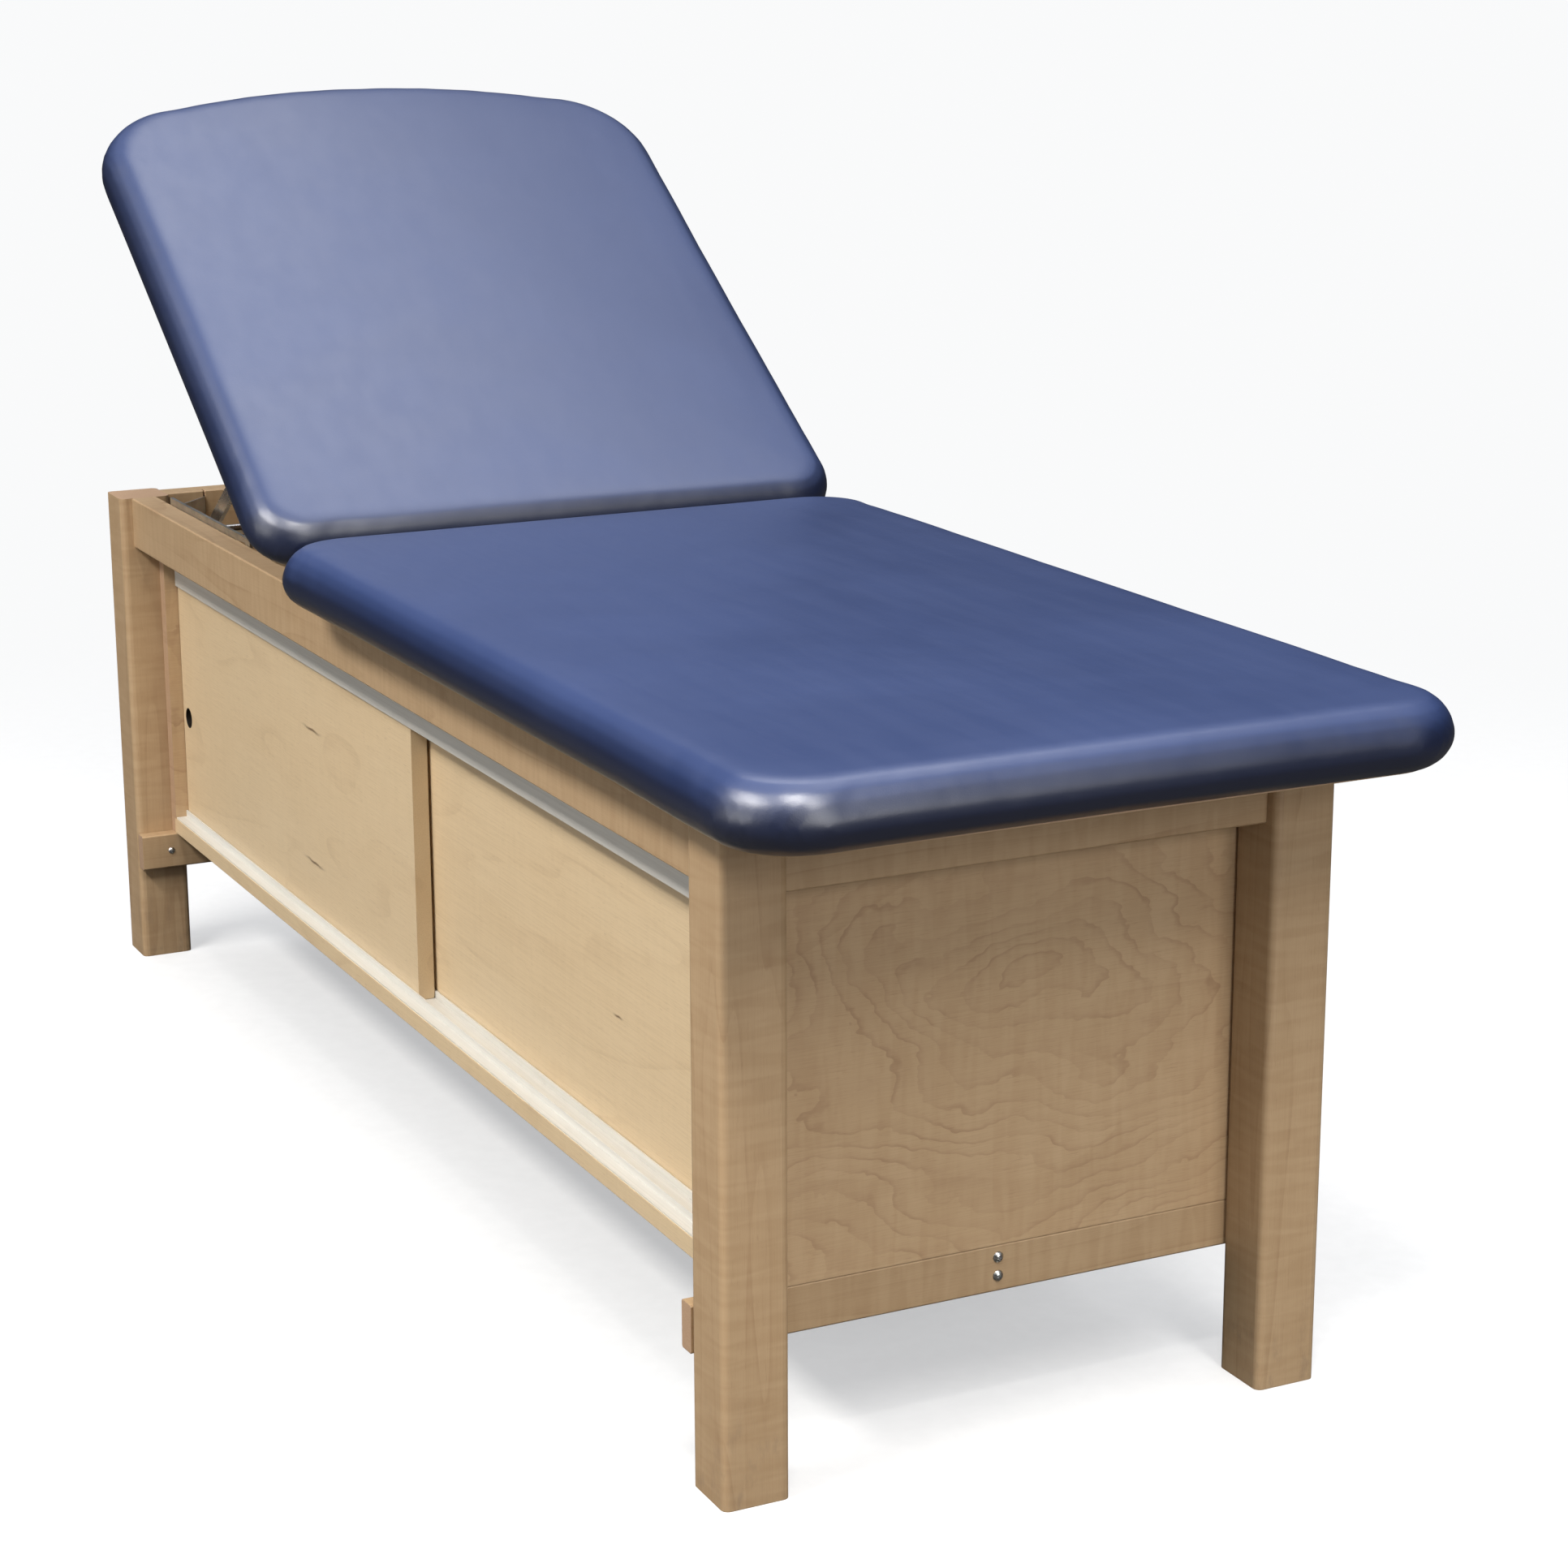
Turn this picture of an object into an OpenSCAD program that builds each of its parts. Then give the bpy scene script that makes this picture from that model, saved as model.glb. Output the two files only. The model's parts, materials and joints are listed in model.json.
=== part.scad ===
// Wooden medical exam table. A fixed frame of four square legs carries a cabinet with
// two sliding doors, a flat seat pad, and a backrest that rises on a piano hinge and is
// held up by a propping frame whose cross rod runs in two notched guide plates.
// Millimetres. The floor is z = 0, +X points to the foot end, the doors face -Y.

/* [Frame] */
// Length over the legs
frame_l = 1830; // [1760:10:1900]
// Width over the legs
frame_w = 610; // [590:5:660]
// Side of a square leg
leg_side = 64; // [58:1:70]
// Height of a leg
leg_h = 605; // [580:1:640]
// Radius of a leg's upright edges
leg_round = 7; // [3:1:10]
// Thickness of the top rails
rail_t = 32; // [28:1:36]
// Height of the top rails
rail_h = 63; // [60:1:72]
// Distance from a leg's outer face back to a rail's outer face
rail_setback = 15; // [10:1:18]
// Height of the bottom rails
low_rail_h = 45; // [40:1:60]
// Height of the bottom rails above the floor
low_rail_z = 122; // [90:1:150]
// Small chamfer on the long edges of the timber
ease = 1.5; // [0.5:0.5:2]

/* [Cabinet] */
// Thickness of the cabinet boards and bottom rails
board_t = 19; // [16:1:22]
// Thickness of the cabinet's back panel
back_panel_t = 12; // [8:1:16]
// Thickness of a sliding door
door_t = 18; // [15:1:18]
// Length of a sliding door
door_l = 849; // [840:1:860]
// Diameter of a door's finger hole
finger_hole_d = 25; // [18:1:30]
// Depth of the upper door track
upper_track_h = 31; // [24:1:36]
// Depth of the lower door track
lower_track_h = 10; // [6:1:12]
// Width of the two flat stretchers at the cabinet's top
header_w = 75; // [68:1:90]

/* [Pads] */
// Width of the pads
pad_w = 720; // [690:5:740]
// Distance that the seat pad reaches past the foot legs
foot_overhang = 160; // [100:1:180]
// Distance from the hinge axis to the middle of the backrest's head end
back_reach = 821; // [810:1:830]
// Thickness of a pad from its board to its top
pad_t = 64; // [58:1:70]
// Thickness of a pad's wooden board
pad_board_t = 12; // [9:1:15]
// Thickness of the vinyl cover
vinyl_t = 1; // [0.8:0.1:1.5]
// Height of the pad boards above the frame
pad_lift = 12; // [12:1:14]
// Angle of the backrest above flat
back_angle = 34; // [0:1:60]

/* [Hinge and prop] */
// Distance from the table's middle to the hinge axis, toward the head end
hinge_from_middle = 138; // [120:1:150]
// Distance along the backrest from the hinge axis to the prop pivots
prop_reach = 316; // [300:1:320]
// Distance of the prop pivots below the plane of the hinge axis
prop_drop = 40; // [38:1:42]
// Diameter of the prop's cross rod
rod_d = 12; // [10:1:12]
// Number of notches in a guide plate
notches = 9; // [4:1:11]

/* [Hidden] */
$fn = 48;

maple = [0.80, 0.69, 0.52];
birch = [0.76, 0.66, 0.50];
vinyl = [0.13, 0.20, 0.42];
foam = [0.86, 0.80, 0.55];
zinc = [0.72, 0.73, 0.75];
bright_steel = [0.80, 0.81, 0.83];
track_white = [0.88, 0.89, 0.88];
black_rubber = [0.08, 0.08, 0.08];

// Legs and rails
leg_x = frame_l / 2 - leg_side / 2;
leg_y = frame_w / 2 - leg_side / 2;
leg_in_x = frame_l / 2 - leg_side;
leg_in_y = frame_w / 2 - leg_side;
rail_out_x = frame_l / 2 - rail_setback;
rail_in_x = rail_out_x - rail_t;
rail_out_y = frame_w / 2 - rail_setback;
rail_in_y = rail_out_y - rail_t;
rail_z = leg_h - rail_h;
low_rail_top = low_rail_z + low_rail_h;
stretcher_half = rail_t / 2;
inner_x = leg_in_x - board_t;

// Cabinet
front_y = -(rail_in_y + 1);
rear_y = rail_in_y;
deck_top = low_rail_top + board_t;
header_z = rail_z - board_t;

// Door tracks: a flat lip at the front, then two grooves between three walls
wall = 2;
track_lip = 13;
groove = door_t + 1.6;
track_w = track_lip + 3 * wall + 2 * groove;
track_y = front_y + 1;
groove_y = [for (i = [0, 1]) track_y + track_lip + wall + i * (groove + wall) + groove / 2];
upper_track_z = header_z - upper_track_h;
door_z = deck_top + wall + 0.3;
door_in_track = 0.56;
door_top = upper_track_z + upper_track_h * door_in_track;
door_gap = 1;
door_x = inner_x - door_gap;
finger_in = 22;
finger_up = 135;
finger_x = door_x - finger_in;
finger_z = door_z + finger_up;

// Pads
board_z = leg_h + pad_lift;
pad_top = board_z + pad_t;
pad_half = pad_w / 2;
foot_x = frame_l / 2 + foot_overhang;
top_round = 38;
side_round = 26;
hinge_end_round = 8;
seat_corner = 85;
back_corner = 70;
head_corner = 130;
head_bow = 30; // the head end's middle reaches this far past its corners
bow_r = head_corner + (pow(head_bow, 2) + pow(pad_w / 2 - head_corner, 2)) / (2 * head_bow);
bow_disc_r = 200;
bow_turn = asin((pad_w / 2 - head_corner) / (bow_r - head_corner)); // from the middle to a corner
tuck = 30;
foam_gap = 0.3;

// Piano hinge
hinge_x = -hinge_from_middle;
leaf_t = 1.5;
knuckle_r = 4;
hinge_pin_d = 4;
hinge_z = board_z - leaf_t + knuckle_r;
hinge_half = 240;
knuckle_l = 40;
knuckle_gap = 0.4;
seat_leaf_w = 40;
back_leaf_w = 64;
pad_gap = 20;
seat_x = hinge_x + pad_gap;
back_near_x = hinge_x - pad_gap;
back_far_x = hinge_x - back_reach;
cross_rail_x = hinge_x + knuckle_r + 0.5;
housing = 6;

// Prop: the arm is as long as prop_reach, so the rod's path is almost a straight line
prop_pin_x = hinge_x - prop_reach;
prop_pin_z = hinge_z - prop_drop;
arm_t = 5;
arm_w = 20;
arm_y = 240.5;
cheek_t = 3;
cheek_gap = 1.5;
cheek_w = 24;
prop_pin_d = 8;
rod_half = rail_in_y - 0.5;
guide_t = 4;
guide_play = 0.8;
notch_drop = 4.5;
notch_play = 0.3;
guide_top = board_z - 4;
guide_bottom = guide_top - 56;
max_angle = 60;

// Corner brackets
bracket_t = 2;
bracket_reach = 67;
bracket_bend = bracket_t / 2 * (sqrt(2) - 1);
bracket_h = 48;
bracket_z = rail_z + 7;
kerf = 2.4;
kerf_depth = 8.5;
flange = 8;
bolt_d = 8;
bolt_in_leg = 35;
bolt_tail = 14;
nut_h = 6.5;
plate_x = rail_in_x - (bracket_reach + bracket_bend) / 2;
plate_y = rail_in_y - (bracket_reach + bracket_bend) / 2;
plate_to_leg = (leg_in_x - plate_x + leg_in_y - plate_y) / sqrt(2);

// Fasteners
fit = 0.05;
screw_d = 4;
pan_d = 9;
pan_h = 2.4;
dome_d = 11;
dome_h = 3.2;
sunk_d = 8;
sunk_h = 2;

// ---------- shared shapes ----------

// A plain box from its lowest corner to its highest corner
module box(lo, hi) {
  translate(lo) cube(hi - lo);
}

// Rectangle with its corners cut by the small timber chamfer
module eased_rect(w, h) {
  polygon([
    [ease, 0], [w - ease, 0], [w, ease], [w, h - ease],
    [w - ease, h], [ease, h], [0, h - ease], [0, ease]
  ]);
}

// Timber along X with its four long edges eased
module timber_x(lo, hi) {
  translate(lo) rotate([90, 0, 90])
    linear_extrude(hi.x - lo.x) eased_rect(hi.y - lo.y, hi.z - lo.z);
}

// Timber along Y with its four long edges eased
module timber_y(lo, hi) {
  translate([lo.x, hi.y, lo.z]) rotate([90, 0, 0])
    linear_extrude(hi.y - lo.y) eased_rect(hi.x - lo.x, hi.z - lo.z);
}

// Rounded rectangle: x0 and x1 are its ends, r0 and r1 the corner radii at those ends
module rounded_plan(x0, x1, half, r0, r1) {
  polygon([
    [x0, half - r0], [x0 + r0, half], [x1 - r1, half], [x1, half - r1],
    [x1, r1 - half], [x1 - r1, -half], [x0 + r0, -half], [x0, r0 - half]
  ]);
  for (side = [-1, 1]) {
    translate([x0 + r0, side * (half - r0)]) circle(r0);
    translate([x1 - r1, side * (half - r1)]) circle(r1);
  }
}

// Repeats a shape drawn in the foot rear quarter in all four quarters
module four_quarters() {
  for (head = [0, 1], front = [0, 1])
    mirror([head, 0, 0]) mirror([0, front, 0]) children();
}

// Repeats a shape drawn on the rear side on both sides
module both_sides() {
  children();
  mirror([0, 1, 0]) children();
}

// Moves a piece so that x = 0 is the middle of the table's overall length
module placed() {
  translate([-foot_overhang / 2, 0, 0]) children();
}

// Turns parts drawn for a flat backrest up to the backrest angle
module raised() {
  translate([hinge_x, 0, hinge_z]) rotate([0, back_angle, 0])
    translate([-hinge_x, 0, -hinge_z]) children();
}

// Cross-shaped driver recess; screws point along +Z with their heads below z = 0
module cross_recess(depth, head_h) {
  for (turn = [0, 90])
    rotate(turn) translate([-2.2, -0.5, -head_h - 1]) cube([4.4, 1, depth + 1]);
}

module dome_screw(d, h, l) {
  ball = (d * d / 4 + h * h) / (2 * h);
  difference() {
    union() {
      intersection() {
        translate([0, 0, ball - h]) sphere(ball);
        translate([0, 0, -h]) cylinder(h = h, d = d);
      }
      cylinder(h = l, d = screw_d);
    }
    cross_recess(1.4, h);
  }
}

module sunk_screw(l) {
  difference() {
    union() {
      cylinder(h = sunk_h, d1 = sunk_d, d2 = screw_d);
      cylinder(h = l, d = screw_d);
    }
    cross_recess(1.2, 0);
  }
}

module screw_hole(l) {
  cylinder(h = l + fit, d = screw_d + 2 * fit);
}

module sunk_hole(l) {
  screw_hole(l);
  cylinder(h = sunk_h, d1 = sunk_d + 2 * fit, d2 = screw_d + 2 * fit);
}

// ---------- where the fasteners go ----------

// Bottom rail to leg, driven outward from inside
leg_screw_l = board_t + 24;
module at_leg_screws() {
  four_quarters() translate([inner_x, leg_y - 6, low_rail_z + low_rail_h / 2])
    rotate([0, 90, 0]) children();
}

// Bottom rail to centre stretcher, driven inward from outside
stretcher_screw_l = board_t + 40;
module at_stretcher_screws() {
  for (head = [0, 1], z = [low_rail_z + 15, low_rail_z + 33])
    mirror([head, 0, 0]) translate([leg_in_x, 0, z]) rotate([0, -90, 0]) children();
}

// Deck down into the centre stretcher
deck_screw_l = board_t + 20;
module at_deck_screws() {
  for (x = [-600, -200, 200, 600])
    translate([x, 0, deck_top]) rotate([180, 0, 0]) children();
}

// Cabinet headers up into the hinge cross rail
header_screw_l = board_t + 30;
module at_header_screws() {
  for (y = [front_y + header_w - 8, rear_y - back_panel_t - header_w / 2])
    translate([cross_rail_x + rail_t / 2, y, header_z]) children();
}

// Platform down into the side rails
platform_screw_l = pad_lift + 30;
module at_platform_screws() {
  both_sides() for (x = [0, 200, 400, 600, 800])
    translate([x, rail_in_y + rail_t / 2, board_z]) rotate([180, 0, 0]) children();
}

// Platform up into the seat board
seat_screw_l = pad_lift + pad_board_t - 3;
module at_seat_screws() {
  both_sides() for (x = [60, 350, 640, 840])
    translate([x, 190, leg_h]) children();
}

// Hinge leaf down into the platform and the hinge cross rail
hinge_screw_step = 80;
hinge_seat_screw_l = 30;
module at_hinge_seat_screws() {
  for (i = [-2.5:1:2.5])
    translate([cross_rail_x + rail_t / 2, i * hinge_screw_step, board_z])
      rotate([180, 0, 0]) children();
}

// Hinge leaf up into the backrest board, for a flat backrest
hinge_back_screw_l = leaf_t + pad_board_t - 3;
module at_hinge_back_screws() {
  for (i = [-2.5:1:2.5])
    translate([hinge_x - back_leaf_w + 14, i * hinge_screw_step, board_z - leaf_t]) children();
}

// Prop bracket up into the backrest board, for a flat backrest
prop_screw_l = cheek_t + pad_board_t - 3;
module at_prop_bracket_screws() {
  both_sides() for (x = [-9, 9])
    translate([prop_pin_x + x, prop_flange_y + 9, board_z - cheek_t]) children();
}

// Guide plate to side rail, on the rear side
guide_screw_l = guide_t + 20;
module at_guide_screws() {
  for (x = [guide_x0 + 12, (guide_x0 + guide_x1) / 2, guide_x1 - 12])
    translate([x, rail_in_y - guide_t, guide_bottom + 6]) rotate([-90, 0, 0]) children();
}

// ---------- frame ----------

// One leg in the foot rear quarter, with the holes that its fasteners need
module leg_blank() {
  difference() {
    translate([leg_x, leg_y, 0]) linear_extrude(leg_h)
      rounded_plan(-leg_side / 2, leg_side / 2, leg_side / 2, leg_round, leg_round);
    at_leg_screws() screw_hole(leg_screw_l);
    at_corner_bolts() cylinder(h = plate_to_leg + bolt_in_leg + fit, d = bolt_d + 2 * fit);
  }
}

module leg_head_front() placed() color(maple) mirror([1, 0, 0]) mirror([0, 1, 0]) leg_blank();

module leg_head_rear() placed() color(maple) mirror([1, 0, 0]) leg_blank();

module leg_foot_front() placed() color(maple) mirror([0, 1, 0]) leg_blank();

module leg_foot_rear() placed() color(maple) leg_blank();

// Saw cuts that hold the corner brackets' flanges
module bracket_kerfs() {
  four_quarters() {
    translate([rail_in_x - bracket_reach - kerf / 2, rail_in_y - 1, rail_z - 1])
      cube([kerf, kerf_depth + 1, rail_h + 2]);
    translate([rail_in_x - 1, rail_in_y - bracket_reach - kerf / 2, rail_z - 1])
      cube([kerf_depth + 1, kerf, rail_h + 2]);
  }
}

// Rear side rail, housed for the hinge cross rail
module side_rail_blank() {
  difference() {
    timber_x([-leg_in_x, rail_in_y, rail_z], [leg_in_x, rail_out_y, leg_h]);
    bracket_kerfs();
    box([cross_rail_x, rail_in_y - 1, rail_z - 1],
      [cross_rail_x + rail_t, rail_in_y + housing, leg_h + 1]);
    at_platform_screws() screw_hole(platform_screw_l);
    at_guide_screws() screw_hole(guide_screw_l);
  }
}

module side_rail_front() placed() color(maple) mirror([0, 1, 0]) side_rail_blank();

module side_rail_rear() placed() color(maple) side_rail_blank();

module end_rail_blank() {
  difference() {
    timber_y([rail_in_x, -leg_in_y, rail_z], [rail_out_x, leg_in_y, leg_h]);
    bracket_kerfs();
  }
}

module end_rail_head() placed() color(maple) mirror([1, 0, 0]) end_rail_blank();

module end_rail_foot() placed() color(maple) end_rail_blank();

// Carries the seat end of the piano hinge
module hinge_cross_rail() {
  placed() color(maple) difference() {
    box([cross_rail_x, -rail_in_y - housing, rail_z],
      [cross_rail_x + rail_t, rail_in_y + housing, leg_h]);
    at_header_screws() screw_hole(header_screw_l);
    at_hinge_seat_screws() screw_hole(hinge_seat_screw_l);
  }
}

module bottom_rail_blank() {
  difference() {
    timber_y([inner_x, -frame_w / 2, low_rail_z], [leg_in_x, frame_w / 2, low_rail_top]);
    at_leg_screws() screw_hole(leg_screw_l);
    at_stretcher_screws() screw_hole(stretcher_screw_l);
  }
}

module bottom_rail_head() placed() color(maple) mirror([1, 0, 0]) bottom_rail_blank();

module bottom_rail_foot() placed() color(maple) bottom_rail_blank();

module centre_stretcher() {
  placed() color(maple) difference() {
    timber_x([-inner_x, -stretcher_half, low_rail_z], [inner_x, stretcher_half, low_rail_top]);
    at_stretcher_screws() screw_hole(stretcher_screw_l);
    at_deck_screws() screw_hole(deck_screw_l);
  }
}

// ---------- cabinet ----------

module cabinet_deck() {
  placed() color(birch) difference() {
    box([-inner_x - housing, front_y, low_rail_top], [inner_x + housing, rear_y, deck_top]);
    at_deck_screws() sunk_hole(deck_screw_l);
  }
}

module cabinet_end_head() placed() color(birch) mirror([1, 0, 0]) cabinet_end_foot_panel();

module cabinet_end_foot() placed() color(birch) cabinet_end_foot_panel();

// Stands on a bottom rail, with a rebate over the end of the deck
module cabinet_end_foot_panel() {
  difference() {
    box([inner_x, front_y, low_rail_top], [leg_in_x, rear_y, rail_z]);
    box([inner_x - 1, front_y - 1, low_rail_top - 1], [inner_x + housing, rear_y + 1, deck_top]);
  }
}

module cabinet_back() {
  placed() color(birch) box([-inner_x, rear_y - back_panel_t, deck_top], [inner_x, rear_y, rail_z]);
}

module header_front() {
  placed() color(birch) difference() {
    box([-inner_x, front_y, header_z], [inner_x, front_y + header_w, rail_z]);
    at_header_screws() screw_hole(header_screw_l);
  }
}

module header_rear() {
  placed() color(birch) difference() {
    box([-inner_x, rear_y - back_panel_t - header_w, header_z],
      [inner_x, rear_y - back_panel_t, rail_z]);
    at_header_screws() screw_hole(header_screw_l);
  }
}

// Section of a double door track, h deep, with its web at the bottom
module track_section(h) {
  square([track_w, wall]);
  for (i = [0:2])
    translate([track_lip + i * (groove + wall), 0]) square([wall, h]);
}

module lower_track() {
  placed() color(track_white) translate([-inner_x, track_y, deck_top]) rotate([90, 0, 90])
    linear_extrude(2 * inner_x) track_section(lower_track_h);
}

module upper_track() {
  placed() color(track_white) translate([-inner_x, track_y, header_z]) mirror([0, 0, 1])
    rotate([90, 0, 90]) linear_extrude(2 * inner_x) track_section(upper_track_h);
}

// The head door, in the front groove; y is the middle of its groove
module door_blank(y) {
  difference() {
    timber_x([-door_x, y - door_t / 2, door_z], [door_l - door_x, y + door_t / 2, door_top]);
    translate([-finger_x, y - door_t, finger_z]) rotate([-90, 0, 0])
      cylinder(h = 2 * door_t, d = finger_hole_d);
  }
}

module door_head() placed() color(maple) door_blank(groove_y[0]);

module door_foot() placed() color(maple) mirror([1, 0, 0]) door_blank(groove_y[1]);

// ---------- corner hardware ----------

// Middle of a corner bracket's plate, with +Z pointing at the leg
module at_corner_bolts() {
  four_quarters()
    translate([plate_x, plate_y, bracket_z + bracket_h / 2]) rotate([0, 90, 45]) children();
}

// Bent plate across a corner; both flanges sit in the rails' saw cuts
module corner_brackets() {
  half = bracket_t / 2;
  x = rail_in_x - bracket_reach;
  y = rail_in_y - bracket_reach;
  placed() color(zinc) difference() {
    four_quarters() translate([0, 0, bracket_z]) linear_extrude(bracket_h) polygon([
      [x - half, rail_in_y + flange], [x - half, rail_in_y - 2 * bracket_bend],
      [rail_in_x - 2 * bracket_bend, y - half], [rail_in_x + flange, y - half],
      [rail_in_x + flange, y + half], [rail_in_x, y + half],
      [x + half, rail_in_y], [x + half, rail_in_y + flange]
    ]);
    at_corner_bolts() translate([0, 0, -5]) cylinder(h = 10, d = bolt_d + 2 * fit);
  }
}

module corner_bolts() {
  placed() color(zinc) at_corner_bolts() translate([0, 0, -bolt_tail])
    cylinder(h = bolt_tail + plate_to_leg + bolt_in_leg, d = bolt_d);
}

module corner_nuts() {
  placed() color(zinc) at_corner_bolts() translate([0, 0, -bracket_t / 2 - nut_h]) difference() {
    cylinder(h = nut_h, d = 15, $fn = 6);
    translate([0, 0, -1]) cylinder(h = nut_h + 2, d = bolt_d + 2 * fit);
  }
}

// ---------- pads ----------

// Disc with a rounded rim: r is its radius, low and high its lower and upper rim radii
module rim_disc(r, t, low, high) {
  rotate_extrude($fn = 32) polygon(concat(
    [[0, 0]],
    [for (a = [-90:22.5:0]) [r - low + low * cos(a), low + low * sin(a)]],
    [for (a = [0:18:90]) [r - high + high * cos(a), t - high + high * sin(a)]],
    [[0, t]]
  ));
}

// Pad between the hinge end and the far end, shrunk on every side by inset.
// The far end is bowed on the backrest, whose far end is the head end, and straight on the seat.
module pad_form(near, far, near_corner, far_corner, inset) {
  way = far > near ? 1 : -1;
  bow = way < 0 ? head_bow : 0;
  t = pad_t + vinyl_t - 2 * inset;
  translate([0, 0, board_z - vinyl_t + inset]) hull() {
    for (side = [-1, 1]) {
      translate([near + way * near_corner, side * (pad_half - near_corner), 0])
        rim_disc(near_corner - inset, t, hinge_end_round - inset, top_round - inset);
      translate([far - way * (bow + far_corner), side * (pad_half - far_corner), 0])
        rim_disc(far_corner - inset, t, side_round - inset, top_round - inset);
    }
    if (bow > 0) for (step = [-2:2]) {
      translate([far + bow_r, 0, 0]) rotate(step / 3 * bow_turn) translate([bow_disc_r - bow_r, 0, 0])
        rim_disc(bow_disc_r - inset, t, side_round - inset, top_round - inset);
    }
  }
}

// Segment that the bowed head end adds to the backrest's board, set in from the pad's outline
module bow_plan(set_in) {
  arc_r = bow_r - set_in;
  half = arc_r * sin(bow_turn);
  intersection() {
    translate([back_far_x + bow_r, 0]) circle(arc_r, $fn = 96);
    translate([back_far_x, -half]) square([head_bow + head_corner, 2 * half]);
  }
}

// Outline of a pad's board, set in from the pad's widest outline
module board_plan(near, far, near_corner, far_corner, grow = 0) {
  way = far > near ? 1 : -1;
  side_in = side_round + 2 - grow;
  near_in = hinge_end_round + 2 - grow;
  x_near = near + way * near_in;
  x_far = far - way * (side_in + (way < 0 ? head_bow : 0));
  r_near = near_corner - side_in;
  r_far = far_corner - side_in;
  if (way > 0) rounded_plan(x_near, x_far, pad_half - side_in, r_near, r_far);
  else {
    rounded_plan(x_far, x_near, pad_half - side_in, r_far, r_near);
    bow_plan(side_in);
  }
}

module pad_board(near, far, near_corner, far_corner) {
  translate([0, 0, board_z]) linear_extrude(pad_board_t)
    board_plan(near, far, near_corner, far_corner);
}

module pad_foam(near, far, near_corner, far_corner) {
  difference() {
    pad_form(near, far, near_corner, far_corner, vinyl_t + foam_gap);
    translate([0, 0, board_z - 1]) linear_extrude(pad_board_t + 1)
      board_plan(near, far, near_corner, far_corner, foam_gap);
  }
}

// Vinyl skin, tucked under the board's edge and open under its middle and hinge end
module pad_cover(near, far, near_corner, far_corner) {
  open_in = side_round + tuck;
  far_open = far - (far > near ? open_in : -open_in - head_bow);
  near_open = near - (far > near ? 10 : -10);
  difference() {
    pad_form(near, far, near_corner, far_corner, 0);
    pad_form(near, far, near_corner, far_corner, vinyl_t);
    box([min(near_open, far_open), open_in - pad_half, board_z - 5],
      [max(near_open, far_open), pad_half - open_in, board_z + pad_board_t / 2]);
  }
}

module seat_platform() {
  placed() color(birch) difference() {
    box([cross_rail_x, -rail_out_y, leg_h], [rail_out_x, rail_out_y, board_z]);
    box([cross_rail_x - 1, -hinge_half - 1, board_z - leaf_t],
      [hinge_x + seat_leaf_w + 0.2, hinge_half + 1, board_z + 1]);
    at_platform_screws() sunk_hole(platform_screw_l);
    at_seat_screws() screw_hole(seat_screw_l);
    at_hinge_seat_screws() screw_hole(hinge_seat_screw_l);
  }
}

module seat_board() {
  placed() color(birch) difference() {
    pad_board(seat_x, foot_x, seat_corner, seat_corner);
    at_seat_screws() screw_hole(seat_screw_l);
  }
}

module seat_foam() placed() color(foam) pad_foam(seat_x, foot_x, seat_corner, seat_corner);

module seat_cover() placed() color(vinyl) pad_cover(seat_x, foot_x, seat_corner, seat_corner);

module back_board() {
  placed() color(birch) raised() difference() {
    pad_board(back_near_x, back_far_x, back_corner, head_corner);
    at_hinge_back_screws() screw_hole(hinge_back_screw_l);
    at_prop_bracket_screws() screw_hole(prop_screw_l);
  }
}

module back_foam() {
  placed() color(foam) raised() pad_foam(back_near_x, back_far_x, back_corner, head_corner);
}

module back_cover() {
  placed() color(vinyl) raised() pad_cover(back_near_x, back_far_x, back_corner, head_corner);
}

// ---------- piano hinge ----------

// One leaf, flat, reaching w from the axis toward +X; first is 0 or 1 so knuckles alternate
module hinge_leaf(w, first) {
  difference() {
    union() {
      box([0, -hinge_half, -knuckle_r], [w, hinge_half, leaf_t - knuckle_r]);
      rotate([90, 0, 0]) cylinder(h = 2 * hinge_half, r = knuckle_r, center = true);
    }
    rotate([90, 0, 0])
      cylinder(h = 2 * hinge_half + 2, d = hinge_pin_d + 2 * fit, center = true);
    for (i = [1 - first:2:2 * hinge_half / knuckle_l - 1])
      translate([-knuckle_r - 1, i * knuckle_l - hinge_half - knuckle_gap / 2, -knuckle_r - 1])
        cube([2 * knuckle_r + 1.5, knuckle_l + knuckle_gap, 2 * knuckle_r + 2]);
  }
}

module hinge_leaf_seat() {
  placed() color(zinc) difference() {
    translate([hinge_x, 0, hinge_z]) hinge_leaf(seat_leaf_w, 0);
    at_hinge_seat_screws() translate([0, 0, -0.1]) cylinder(h = 3, d = screw_d + 1);
  }
}

module hinge_leaf_back() {
  placed() color(zinc) raised() difference() {
    translate([hinge_x, 0, hinge_z]) mirror([1, 0, 0]) hinge_leaf(back_leaf_w, 1);
    at_hinge_back_screws() translate([0, 0, -0.5]) cylinder(h = 3, d = screw_d + 1);
  }
}

module hinge_pin() {
  placed() color(bright_steel) translate([hinge_x, 0, hinge_z]) rotate([90, 0, 0])
    cylinder(h = 2 * hinge_half + 4, d = hinge_pin_d, center = true);
}

// ---------- prop ----------

// Centre of the cross rod in the XZ plane when the backrest is at angle a
function rod_at(a) = [
  hinge_x - 2 * prop_reach * cos(a) - prop_drop * sin(a),
  hinge_z - prop_drop * cos(a)
];

guide_x0 = rod_at(0).x - 20;
guide_x1 = rod_at(max_angle).x + 20;
cheek_inner_y = arm_y - arm_t / 2 - cheek_gap;
cheek_outer_y = arm_y + arm_t / 2 + cheek_gap;
prop_flange_y = cheek_inner_y - cheek_t - 20;

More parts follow.
